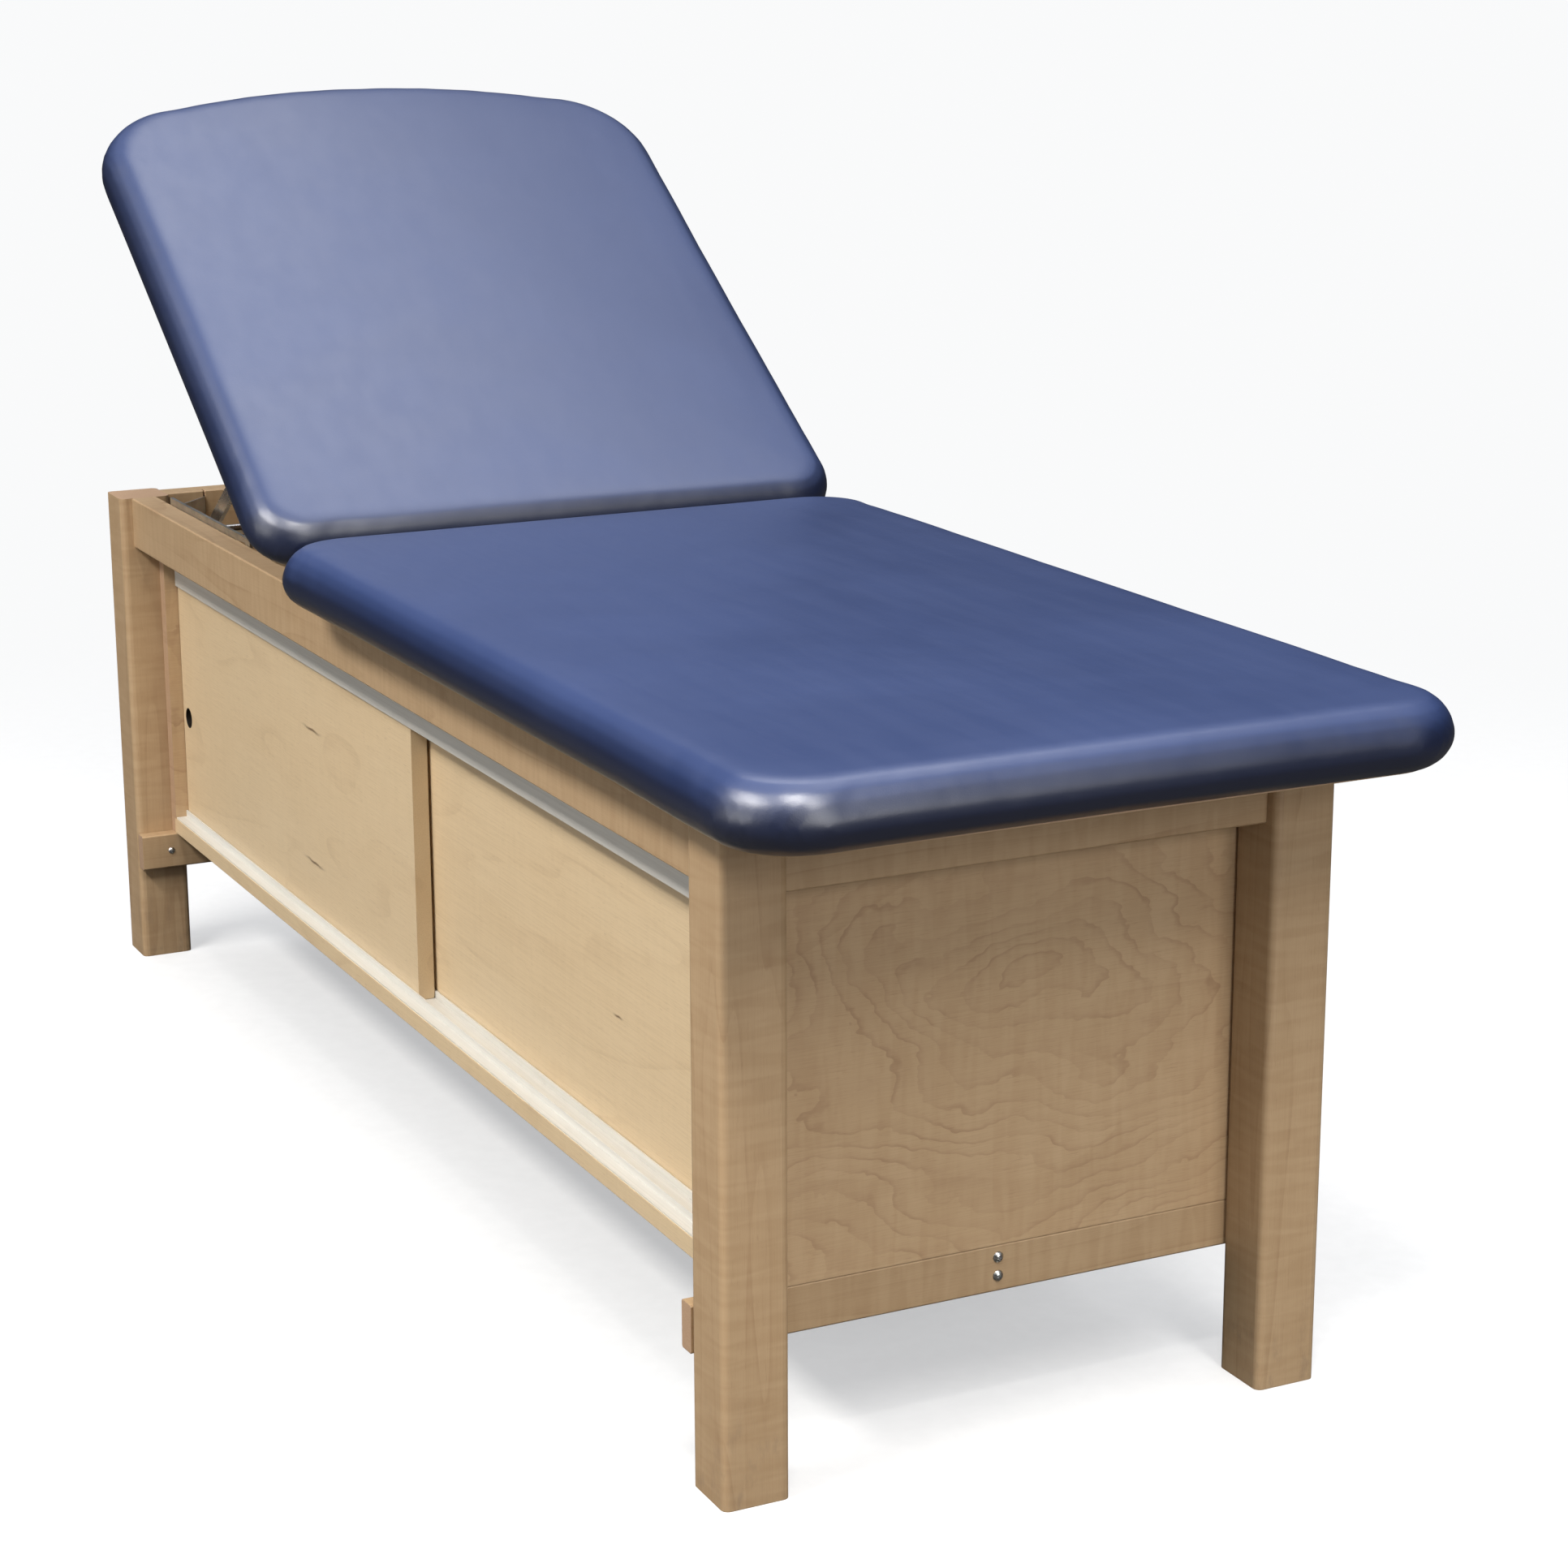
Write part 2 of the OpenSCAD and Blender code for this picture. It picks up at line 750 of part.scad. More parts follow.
// Two arms welded to the cross rod and to a flat brace
module prop_frame() {
  rod_x = rod_at(0).x - prop_pin_x;
  placed() color(bright_steel) raised() translate([prop_pin_x, 0, prop_pin_z])
    rotate([0, -2 * back_angle, 0]) {
      both_sides() difference() {
        translate([0, arm_y + arm_t / 2, 0]) rotate([90, 0, 0]) linear_extrude(arm_t) {
          translate([rod_x, -arm_w / 2]) square([-rod_x, arm_w]);
          circle(d = arm_w);
          translate([rod_x, 0]) circle(d = arm_w);
        }
        translate([0, arm_y + arm_t, 0]) rotate([90, 0, 0])
          cylinder(h = 2 * arm_t, d = prop_pin_d + 2 * fit);
      }
      translate([rod_x, 0, 0]) rotate([90, 0, 0])
        cylinder(h = 2 * rod_half, d = rod_d, center = true);
      translate([rod_x / 2 - 10, -arm_y, -1.5]) cube([20, 2 * arm_y, 3]);
    }
}

// U-shaped brackets under the backrest board, with a flange for their screws
module prop_brackets() {
  drop = board_z - prop_pin_z;
  placed() color(zinc) raised() difference() {
    both_sides() translate([prop_pin_x, 0, prop_pin_z]) {
      for (y = [cheek_inner_y - cheek_t, cheek_outer_y])
        translate([0, y + cheek_t, 0]) rotate([90, 0, 0]) linear_extrude(cheek_t) {
          translate([-cheek_w / 2, 0]) square([cheek_w, drop]);
          circle(d = cheek_w);
        }
      translate([-cheek_w, prop_flange_y, drop - cheek_t])
        cube([2 * cheek_w, cheek_outer_y + cheek_t - prop_flange_y, cheek_t]);
    }
    at_prop_bracket_screws() screw_hole(prop_screw_l);
    translate([prop_pin_x, 0, prop_pin_z]) rotate([90, 0, 0])
      cylinder(h = 2 * pad_w, d = prop_pin_d + 2 * fit, center = true);
  }
}

module prop_pins() {
  l = cheek_outer_y - cheek_inner_y + 2 * cheek_t + 1;
  placed() color(bright_steel) raised() both_sides()
    translate([prop_pin_x, arm_y, prop_pin_z]) rotate([90, 0, 0]) {
      cylinder(h = l, d = prop_pin_d, center = true);
      translate([0, 0, l / 2 - 0.5]) cylinder(h = 2, d = prop_pin_d + 4);
    }
}

// Plate on the rear side rail; its slot follows the rod's path, which turns back
// near the flat position, and the rod can rest in the notches below it
module guide_blank() {
  half = rod_d / 2 + guide_play;
  steps = 12;
  first_notch = 12;
  notch_step = (max_angle - first_notch) / (notches - 1);
  path = [for (i = [0:steps]) rod_at(i * max_angle / steps)];
  turn_back = rod_at(atan(prop_drop / (2 * prop_reach)));
  difference() {
    translate([0, rail_in_y, 0]) rotate([90, 0, 0]) linear_extrude(guide_t) difference() {
      translate([guide_x0, guide_bottom])
        square([guide_x1 - guide_x0, guide_top - guide_bottom]);
      polygon(concat(
        [for (p = path) [p.x, p.y + half]],
        [for (i = [steps:-1:0]) [path[i].x, path[i].y - half]]
      ));
      translate(path[0]) circle(half);
      translate(turn_back) circle(half);
      translate(path[steps]) circle(half);
      for (i = [0:notches - 1])
        translate(rod_at(first_notch + i * notch_step) - [0, notch_drop])
          circle(rod_d / 2 + notch_play);
    }
    at_guide_screws() translate([0, 0, -1]) cylinder(h = guide_t + 2, d = screw_d + 2 * fit);
  }
}

module guide_plate_front() placed() color(zinc) mirror([0, 1, 0]) guide_blank();

module guide_plate_rear() placed() color(zinc) guide_blank();

// Rubber buttons that the flat backrest comes down on
module head_bumpers() {
  h = pad_lift - vinyl_t - 0.3;
  placed() color(black_rubber) both_sides()
    translate([-rail_in_x - rail_t / 2, 100, leg_h]) cylinder(h = h, d1 = 24, d2 = 20);
}

// ---------- fasteners ----------

module leg_screws() placed() color(zinc) at_leg_screws() dome_screw(pan_d, pan_h, leg_screw_l);

module stretcher_screws() {
  placed() color(zinc) at_stretcher_screws() dome_screw(dome_d, dome_h, stretcher_screw_l);
}

module deck_screws() placed() color(zinc) at_deck_screws() sunk_screw(deck_screw_l);

module header_screws() placed() color(zinc) at_header_screws() dome_screw(pan_d, pan_h, header_screw_l);

module platform_screws() placed() color(zinc) at_platform_screws() sunk_screw(platform_screw_l);

module seat_screws() placed() color(zinc) at_seat_screws() dome_screw(pan_d, pan_h, seat_screw_l);

module hinge_screws_seat() {
  placed() color(zinc) at_hinge_seat_screws() cylinder(h = hinge_seat_screw_l, d = screw_d);
}

module hinge_screws_back() {
  placed() color(zinc) raised() at_hinge_back_screws() dome_screw(pan_d, pan_h, hinge_back_screw_l);
}

module prop_bracket_screws() {
  placed() color(zinc) raised() at_prop_bracket_screws() dome_screw(pan_d, pan_h, prop_screw_l);
}

module guide_screws() {
  placed() color(zinc) both_sides() at_guide_screws() dome_screw(pan_d, pan_h, guide_screw_l);
}

leg_head_front();
leg_head_rear();
leg_foot_front();
leg_foot_rear();
side_rail_front();
side_rail_rear();
end_rail_head();
end_rail_foot();
hinge_cross_rail();
bottom_rail_head();
bottom_rail_foot();
centre_stretcher();
cabinet_deck();
cabinet_end_head();
cabinet_end_foot();
cabinet_back();
header_front();
header_rear();
lower_track();
upper_track();
door_head();
door_foot();
corner_brackets();
corner_bolts();
corner_nuts();
seat_platform();
seat_board();
seat_foam();
seat_cover();
back_board();
back_foam();
back_cover();
hinge_leaf_seat();
hinge_leaf_back();
hinge_pin();
prop_frame();
prop_brackets();
prop_pins();
guide_plate_front();
guide_plate_rear();
head_bumpers();
leg_screws();
stretcher_screws();
deck_screws();
header_screws();
platform_screws();
seat_screws();
hinge_screws_seat();
hinge_screws_back();
prop_bracket_screws();
guide_screws();
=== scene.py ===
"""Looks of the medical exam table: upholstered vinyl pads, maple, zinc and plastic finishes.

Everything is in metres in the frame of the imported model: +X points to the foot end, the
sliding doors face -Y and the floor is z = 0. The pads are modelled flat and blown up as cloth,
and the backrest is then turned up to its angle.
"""
import json
import math

import bpy
import numpy as np
from mathutils import Matrix, Vector

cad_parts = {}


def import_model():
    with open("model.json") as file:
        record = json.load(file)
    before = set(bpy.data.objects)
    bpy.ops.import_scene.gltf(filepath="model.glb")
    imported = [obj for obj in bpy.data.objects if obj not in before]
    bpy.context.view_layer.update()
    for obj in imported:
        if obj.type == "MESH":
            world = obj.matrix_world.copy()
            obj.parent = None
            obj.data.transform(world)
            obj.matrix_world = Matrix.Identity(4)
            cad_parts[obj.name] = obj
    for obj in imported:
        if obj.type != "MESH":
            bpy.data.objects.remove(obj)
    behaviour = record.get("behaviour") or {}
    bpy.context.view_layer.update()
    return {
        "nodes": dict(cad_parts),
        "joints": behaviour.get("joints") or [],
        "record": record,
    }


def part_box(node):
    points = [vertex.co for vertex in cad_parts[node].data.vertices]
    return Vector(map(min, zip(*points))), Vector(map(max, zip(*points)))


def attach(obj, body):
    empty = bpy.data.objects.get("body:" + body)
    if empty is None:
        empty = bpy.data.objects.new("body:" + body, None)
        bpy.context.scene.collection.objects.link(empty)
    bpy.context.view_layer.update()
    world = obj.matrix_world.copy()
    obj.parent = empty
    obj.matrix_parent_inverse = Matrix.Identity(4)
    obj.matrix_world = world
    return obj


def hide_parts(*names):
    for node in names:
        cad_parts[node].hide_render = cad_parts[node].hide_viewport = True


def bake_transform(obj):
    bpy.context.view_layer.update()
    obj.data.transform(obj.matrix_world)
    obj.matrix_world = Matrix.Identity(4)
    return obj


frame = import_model()
NODES = frame["nodes"]
JOINTS = {joint["name"]: joint for joint in frame["joints"]}

MM = 0.001

# Hinge and backrest
HINGE = Vector(JOINTS["backrest_hinge"]["pos_m"])
BACK_ANGLE = math.radians(-JOINTS["backrest_hinge"]["range_deg"][0])
RAISE = (
    Matrix.Translation(HINGE)
    @ Matrix.Rotation(BACK_ANGLE, 4, "Y")
    @ Matrix.Translation(-HINGE)
)

# Finger holes, measured from a door's outer end and lower edge
FINGER_HOLE_R = 12.5 * MM
FINGER_HOLE_IN = 22 * MM
FINGER_HOLE_UP = 135 * MM

# Pads
PAD_NOSE = 9.5 * MM          # from the hinge axis to each pad's nearest edge
PAD_GIVE = 40 * MM           # from the hinge axis to the ends of a bend stretch, worked out but not used to bend the pads
SEAT_CORNER = 85 * MM
BACK_CORNER = 70 * MM
HEAD_CORNER = 130 * MM
HEAD_BOW = 30 * MM
TOP_ROUND = 36 * MM          # rounding of the pads' upper edges
SIDE_ROUND = 27 * MM         # rounding of the pads' lower edges
TUCK = 56 * MM               # from a pad's outline in to the edge of its tucked vinyl
CROWN = 2.5 * MM             # rise of a pad's middle over its edges
CROWN_REACH = 0.30           # from a pad's outline in to where its crown is full
BOARD_IN = 20 * MM           # from a pad's hinge end in to where its bare board shows
BOARD_UP = 7 * MM            # how far a pad's underside is taken up there, into its board
UNDER_UP = 4 * MM            # points up to this height over the underside belong to it
MIN_CORNER = 3 * MM          # least corner radius of an outline that has been set in

# Cloth
SWELL = 5 * MM               # how far the cloth may move when it is blown up
START_IN = 0.8 * SWELL       # how much smaller than its outline the cloth starts
HELD_UP = 3 * MM             # the cloth is held up to this height over its underside
PUCKER = 0.12                # share of its fine folds that is kept
SMOOTH_ROUNDS = 110          # rounds of smoothing that part the fine folds from the broad swelling
CLOTH_FRAMES = 20
CLOTH_VOXEL = 6 * MM

# Staples under the pads
STAPLE_WIRE = 0.6 * MM       # half the thickness of the wire
STAPLE_WIDTH = 11 * MM
STAPLE_LEG = 4 * MM
STAPLE_STEP = 34 * MM
STAPLE_OUT = 9 * MM          # from the tuck's inner edge out to the staples
SIDE_ROW_GAP = 0.11          # from the end of a pad to the first staple of its side rows
END_ROW_GAP = 0.12           # from the side of a pad to the first staple of its end row
BUMPER_GAP = 14 * MM         # no staple stands nearer than this to a bumper


# ---------- shader building ----------


class Shader:
    """A material under construction. Most calls add one node and return its output socket."""

    def __init__(self, name):
        self.material = bpy.data.materials.new(name)
        self.material.use_nodes = True
        self.tree = self.material.node_tree
        self.tree.nodes.clear()
        self.place = self.node("TexCoord").outputs["Object"]

    def node(self, kind, inputs=None, **settings):
        made = self.tree.nodes.new("ShaderNode" + kind)
        for key, value in settings.items():
            setattr(made, key, value)
        for key, value in (inputs or {}).items():
            self.feed(made.inputs[key], value)
        return made

    def feed(self, socket, value):
        if isinstance(value, bpy.types.NodeSocket):
            self.tree.links.new(value, socket)
        else:
            socket.default_value = value

    def math(self, operation, a, b=0.0, clamp=False):
        made = self.node("Math", {0: a, 1: b}, operation=operation, use_clamp=clamp)
        return made.outputs[0]

    def vector(self, operation, a, b):
        return self.node("VectorMath", {0: a, 1: b}, operation=operation).outputs[0]

    def noise(self, place, scale=1.0, detail=2.0, roughness=0.5, distortion=0.0):
        made = self.node("TexNoise", {
            "Vector": place, "Scale": scale, "Detail": detail,
            "Roughness": roughness, "Distortion": distortion,
        })
        return made.outputs["Fac"]

    def fit(self, value, low, high, out_low=0.0, out_high=1.0):
        """Smoothly turns low..high into out_low..out_high."""
        made = self.node("MapRange", {
            "Value": value, "From Min": low, "From Max": high,
            "To Min": out_low, "To Max": out_high,
        }, interpolation_type="SMOOTHSTEP")
        return made.outputs["Result"]

    def mix(self, share, a, b, blend="MIX"):
        made = self.node("Mix", data_type="RGBA", blend_type=blend)
        self.feed(made.inputs["Factor"], share)
        self.feed(made.inputs[6], a)
        self.feed(made.inputs[7], b)
        return made.outputs[2]

    def split(self, vector):
        return self.node("SeparateXYZ", {"Vector": vector}).outputs

    def join(self, x, y, z):
        return self.node("CombineXYZ", {"X": x, "Y": y, "Z": z}).outputs[0]

    def stretched(self, place, x, y, z):
        return self.vector("MULTIPLY", place, (x, y, z))

    def bump(self, height, distance, strength=1.0, normal=None):
        inputs = {"Height": height, "Distance": distance, "Strength": strength}
        if normal is not None:
            inputs["Normal"] = normal
        return self.node("Bump", inputs).outputs[0]

    def soft_edges(self, radius):
        """Shading normal that rounds a solid's sharp edges by radius."""
        return self.node("Bevel", {"Radius": radius}, samples=4).outputs[0]

    def finish(self, **inputs):
        """Closes the material with a Principled shader; _ in a keyword stands for a space."""
        surface = self.node("BsdfPrincipled")
        for key, value in inputs.items():
            self.feed(surface.inputs[key.replace("_", " ")], value)
        output = self.node("OutputMaterial")
        self.tree.links.new(surface.outputs[0], output.inputs["Surface"])
        return self.material


# ---------- materials ----------

VENEER = ((0.740, 0.585, 0.380, 1), (0.650, 0.485, 0.290, 1))     # palest and warmest tones
SOLID = ((0.480, 0.335, 0.198, 1), (0.365, 0.237, 0.125, 1))
PANEL = ((0.570, 0.402, 0.242, 1), (0.440, 0.288, 0.153, 1))
MAPLE_LINE = (0.270, 0.150, 0.075, 1)
MAPLE_END = (0.500, 0.330, 0.225, 1)
AXES = {"X": ("Y", "Z", "X"), "Y": ("X", "Z", "Y"), "Z": ("X", "Y", "Z")}
TREE_SPOTS = 17                  # different places in the tree that pieces are cut from
TREE_STEP = (1.73, 2.91, 5.17)   # from one such place to the next
PLY = 2.7 * MM
RING_SPACING = 21 * MM           # between the rings of the end panels' round figure


def grain_place(s, grain):
    """Coordinates with Z along the grain, moved to a new spot in the tree for every piece."""
    xyz = dict(zip("XYZ", s.split(s.place)))
    turned = s.join(*(xyz[axis] for axis in AXES[grain]))
    piece = s.node("ObjectInfo").outputs["Object Index"]
    spot = s.join(*(s.math("MULTIPLY", piece, step) for step in TREE_STEP))
    return s.vector("ADD", turned, spot)


def wood_surface(s, grain, ring_size, ring_count, tones, figure=0.4, edge_plies=None):
    """Colour, roughness and bump of lacquered maple.

    ring_size is (across, along) in metres, and figure is how strongly its growth rings show.
    edge_plies is the axis across a board's plies, "banded" where the edges show neither plies
    nor end grain, or None where the ends show end grain.
    """
    pale, warm = tones
    p = grain_place(s, grain)
    across, along = ring_size
    body = s.noise(s.stretched(p, 1 / across, 1 / across, 1 / along), 1.0, 2.2, 0.45, 0.25)
    rings = s.math("FRACT", s.math("MULTIPLY", body, ring_count))
    ring_line = s.fit(rings, 0.80, 0.985)
    ring_line = s.math("MULTIPLY", ring_line, s.fit(rings, 1.0, 0.985))
    ring_tone = s.fit(rings, 0.15, 1.0)
    patch = s.noise(s.stretched(p, 9, 9, 2.2), 1.0, 3.0, 0.55)
    broken = s.fit(s.noise(s.stretched(p, 40, 40, 9), 1.0, 2.0, 0.6), 0.38, 0.62)
    fibre = s.noise(s.stretched(p, 900, 900, 14), 1.0, 3.0, 0.6)
    pores = s.noise(s.stretched(p, 1500, 1500, 70), 1.0, 1.0, 0.5)
    fleck = s.fit(pores, 0.66, 0.74)
    curl = s.noise(s.stretched(p, 14, 14, 95), 1.0, 1.5, 0.5, 0.6)

    tone = s.math("MULTIPLY", patch, 0.9)
    tone = s.math("ADD", tone, s.math("MULTIPLY", ring_tone, figure * 0.5), True)
    colour = s.mix(tone, pale, warm)
    uneven = s.math("ADD", s.math("MULTIPLY", broken, figure), figure * 0.15)
    colour = s.mix(s.math("MULTIPLY", ring_line, uneven), colour, MAPLE_LINE)
    colour = s.mix(s.math("MULTIPLY", s.fit(fibre, 0.35, 0.75), 0.16), colour, MAPLE_LINE)
    colour = s.mix(s.math("MULTIPLY", fleck, 0.30), colour, MAPLE_LINE)
    colour = s.mix(s.fit(curl, 0.3, 0.7, 0.0, 0.10), colour, (0.80, 0.62, 0.40, 1))

    normal = s.split(s.node("TexCoord").outputs["Normal"])
    facing = s.math("ABSOLUTE", normal["XYZ".index(grain)])
    end_grain = s.fit(facing, 0.8, 0.95)
    speckle = s.noise(s.stretched(s.place, 1300, 1300, 1300), 1.0, 2.0, 0.6)
    end_colour = s.mix(s.fit(speckle, 0.3, 0.7, 0.0, 0.45), MAPLE_END, MAPLE_LINE)
    if edge_plies is None:
        colour = s.mix(s.math("MULTIPLY", end_grain, 0.75), colour, end_colour)
    elif edge_plies != "banded":
        across_ply = "XYZ".index(edge_plies)
        height = s.split(s.place)[across_ply]
        plies = s.math("FRACT", s.math("MULTIPLY", height, 1 / PLY))
        dark_ply = s.fit(s.math("ABSOLUTE", s.math("SUBTRACT", plies, 0.5)), 0.20, 0.28)
        on_edge = s.fit(s.math("ABSOLUTE", normal[across_ply]), 0.4, 0.2)
        ply_colour = s.mix(dark_ply, pale, end_colour)
        colour = s.mix(on_edge, colour, ply_colour)

    # Scuffs and dust low down on the legs
    low = s.fit(s.split(s.place)[2], 0.14, 0.0)
    scuff = s.fit(s.noise(s.stretched(s.place, 60, 60, 25), 1.0, 4.0, 0.7), 0.50, 0.72)
    worn = s.math("MULTIPLY", s.math("MULTIPLY", scuff, low), 0.35)
    colour = s.mix(worn, colour, (0.20, 0.14, 0.10, 1))

    rough = s.math("ADD", s.fit(patch, 0.3, 0.7, 0.36, 0.46), s.math("MULTIPLY", fibre, 0.08))
    relief = s.math("ADD", fibre, s.math("MULTIPLY", ring_line, -0.5))
    normal_out = s.bump(relief, 0.05 * MM, 0.35, s.soft_edges(1.2 * MM))
    return dict(
        Base_Color=colour, Roughness=rough, Normal=normal_out, Specular_IOR_Level=0.42,
        Coat_Weight=0.16, Coat_Roughness=0.30,
    )


def solid_maple(grain):
    s = Shader("maple_solid_" + grain)
    return s.finish(**wood_surface(s, grain, (0.080, 0.9), 8, SOLID, 0.26))


def maple_veneer(
    name, grain, tones=VENEER, figure=0.10, edge_plies=None, streaks=(), eye=None, hole=None,
):
    """Rotary-cut face veneer.

    streaks are dark mineral marks, as (centre, length, height). eye is the centre of round
    figure and hole the centre of a finger hole.
    """
    s = Shader(name)
    surface = wood_surface(s, grain, (0.20, 0.9), 8, tones, figure, edge_plies)
    colour = surface["Base_Color"]
    for centre, length, height in streaks:
        colour = mineral_streak(s, colour, centre, length, height)
    if eye is not None:
        colour = round_figure(s, colour, eye)
    if hole is not None:
        colour = dark_hole_wall(s, colour, hole)
    surface["Base_Color"] = colour
    return s.finish(**surface)


def mineral_streak(s, colour, centre, length, height):
    """A thin dark mark that runs along X, thickest in its middle."""
    away = s.split(s.vector("SUBTRACT", s.place, centre))
    wobble = s.noise(s.stretched(s.place, 50, 1, 1), 1.0, 2.0, 0.6)
    drop = s.math("ADD", away[2], s.math("MULTIPLY", s.math("SUBTRACT", wobble, 0.5), height * 2))
    along = s.fit(s.math("ABSOLUTE", away[0]), length / 2, 0.0)
    thin = s.fit(s.math("ABSOLUTE", drop), height, 0.0)
    share = s.math("MULTIPLY", s.math("MULTIPLY", along, thin), 0.9)
    return s.mix(share, colour, (0.10, 0.045, 0.02, 1))


def dark_hole_wall(s, colour, centre):
    """Darkens the colour on the inner wall of a finger hole that runs along Y."""
    away = s.stretched(s.vector("SUBTRACT", s.place, centre), 1, 0, 1)
    radius = s.node("VectorMath", {0: away}, operation="LENGTH").outputs["Value"]
    inside = s.fit(radius, FINGER_HOLE_R + 0.9 * MM, FINGER_HOLE_R + 0.2 * MM)
    return s.mix(inside, colour, (0.012, 0.008, 0.005, 1))


def round_figure(s, colour, eye):
    """Faint uneven rings round one point of a panel that lies in the YZ plane."""
    away = s.stretched(s.vector("SUBTRACT", s.place, eye), 0, 0.62, 1.0)
    sway = s.node("TexNoise", {
        "Vector": s.stretched(s.place, 1, 4.5, 8), "Scale": 1.0, "Detail": 1.5, "Roughness": 0.5,
    }).outputs["Color"]
    ripple = s.node("TexNoise", {
        "Vector": s.stretched(s.place, 1, 34, 52), "Scale": 1.0, "Detail": 2.0, "Roughness": 0.6,
    }).outputs["Color"]
    middle = (0.5, 0.5, 0.5)
    away = s.vector("ADD", away, s.stretched(s.vector("SUBTRACT", sway, middle), 0, 0.20, 0.22))
    away = s.vector("ADD", away, s.stretched(s.vector("SUBTRACT", ripple, middle), 0, 0.026, 0.020))
    radius = s.node("VectorMath", {0: away}, operation="LENGTH").outputs["Value"]
    rings = s.math("FRACT", s.math("DIVIDE", radius, RING_SPACING))
    line = s.math("MULTIPLY", s.fit(rings, 0.72, 0.96), s.fit(rings, 1.0, 0.97))
    patchy = s.fit(s.noise(s.stretched(s.place, 1, 13, 20), 1.0, 3.0, 0.6), 0.42, 0.68)
    share = s.math("MULTIPLY", line, s.math("ADD", s.math("MULTIPLY", patchy, 0.32), 0.03))
    colour = s.mix(share, colour, (0.24, 0.125, 0.065, 1))
    return s.mix(s.fit(rings, 0.2, 1.0, 0.0, 0.14), colour, (0.36, 0.22, 0.125, 1))


def blue_vinyl():
    s = Shader("blue_vinyl")
    cells = s.node("TexVoronoi", {"Vector": s.place, "Scale": 760.0, "Smoothness": 0.6},
                   feature="SMOOTH_F1").outputs["Distance"]
    fine = s.noise(s.place, 1500.0, 2.0, 0.6)
    pull = s.noise(s.stretched(s.place, 5, 9, 9), 1.0, 3.0, 0.5)
    dimples = s.noise(s.place, 26.0, 2.0, 0.5)
    handled = s.noise(s.place, 3.0, 4.0, 0.6, 0.4)
    wiped = s.noise(s.stretched(s.place, 5, 40, 40), 1.0, 3.0, 0.6)

    navy = (0.004, 0.021, 0.096, 1)
    handled_navy = (0.006, 0.025, 0.108, 1)
    grain_navy = (0.006, 0.016, 0.080, 1)
    painted_rim_shade = (0.0008, 0.004, 0.022, 1)
    colour = s.mix(s.fit(handled, 0.35, 0.70), navy, handled_navy)
    colour = s.mix(s.math("MULTIPLY", s.fit(cells, 0.25, 0.75), 0.18), colour, grain_navy)
    # Painted shade: the vinyl's colour is darkened to near black where it turns down round a pad's rim,
    # in place of the dim light its sides get
    facing_up = s.split(s.node("TexCoord").outputs["Normal"])[2]
    colour = s.mix(s.fit(facing_up, 0.90, 0.15, 0.0, 0.95), colour, painted_rim_shade)
    rough = s.math("ADD", s.fit(handled, 0.3, 0.7, 0.36, 0.42), s.fit(wiped, 0.3, 0.7, -0.015, 0.03))
    leather = s.math("ADD", s.math("MULTIPLY", cells, 0.8), s.math("MULTIPLY", fine, 0.3))
    normal = s.bump(leather, 0.09 * MM, 0.5)
    normal = s.bump(s.math("ADD", pull, s.math("MULTIPLY", dimples, 0.12)), 2.2 * MM, 0.35, normal)
    return s.finish(
        Base_Color=colour, Roughness=rough, Normal=normal, Specular_IOR_Level=0.72,
        Coat_Weight=0.45, Coat_Roughness=0.38, Coat_Normal=normal,
    )


def metal(name, colour, rough, brushed, grime=0.2):
    """A bare or plated metal; brushed is the scale of its scratches along X, Y and Z."""
    s = Shader(name)
    scratch = s.noise(s.stretched(s.place, *brushed), 1.0, 3.0, 0.65)
    cloud = s.noise(s.place, 45.0, 3.0, 0.6)
    spangle = s.node("TexVoronoi", {"Vector": s.place, "Scale": 420.0}).outputs["Color"]
    tone = s.mix(s.fit(cloud, 0.3, 0.7), colour, tuple(c * 0.80 for c in colour[:3]) + (1,))
    tone = s.mix(0.10, tone, spangle, "SOFT_LIGHT")
    tone = s.mix(s.fit(cloud, 0.62, 0.80, 0.0, grime), tone, (0.16, 0.14, 0.11, 1))
    scratched = s.fit(scratch, 0.3, 0.7, rough - 0.06, rough + 0.08)
    roughness = s.math("ADD", scratched, s.fit(cloud, 0.4, 0.8, 0, 0.08))
    normal = s.bump(scratch, 0.02 * MM, 0.4, s.soft_edges(0.4 * MM))
    return s.finish(Base_Color=tone, Metallic=1.0, Roughness=roughness, Normal=normal)


def track_plastic():
    s = Shader("track_plastic")
    flow = s.noise(s.stretched(s.place, 6, 500, 500), 1.0, 2.0, 0.5)
    dust = s.noise(s.stretched(s.place, 18, 90, 90), 1.0, 4.0, 0.65)
    colour = s.mix(s.fit(flow, 0.3, 0.7), (0.64, 0.62, 0.57, 1), (0.70, 0.68, 0.63, 1))
    colour = s.mix(s.fit(dust, 0.52, 0.78, 0.0, 0.12), colour, (0.34, 0.29, 0.22, 1))
    rough = s.fit(dust, 0.3, 0.8, 0.34, 0.40)
    normal = s.bump(flow, 0.008 * MM, 0.4, s.soft_edges(0.5 * MM))
    return s.finish(Base_Color=colour, Roughness=rough, Normal=normal, Specular_IOR_Level=0.5)


def black_rubber():
    s = Shader("black_rubber")
    skin = s.noise(s.place, 900.0, 3.0, 0.6)
    bloom = s.noise(s.place, 60.0, 4.0, 0.6)
    colour = s.mix(s.fit(bloom, 0.4, 0.8), (0.018, 0.018, 0.019, 1), (0.055, 0.053, 0.050, 1))
    normal = s.bump(skin, 0.05 * MM, 0.6)
    return s.finish(Base_Color=colour, Roughness=s.fit(bloom, 0.3, 0.7, 0.6, 0.85), Normal=normal)


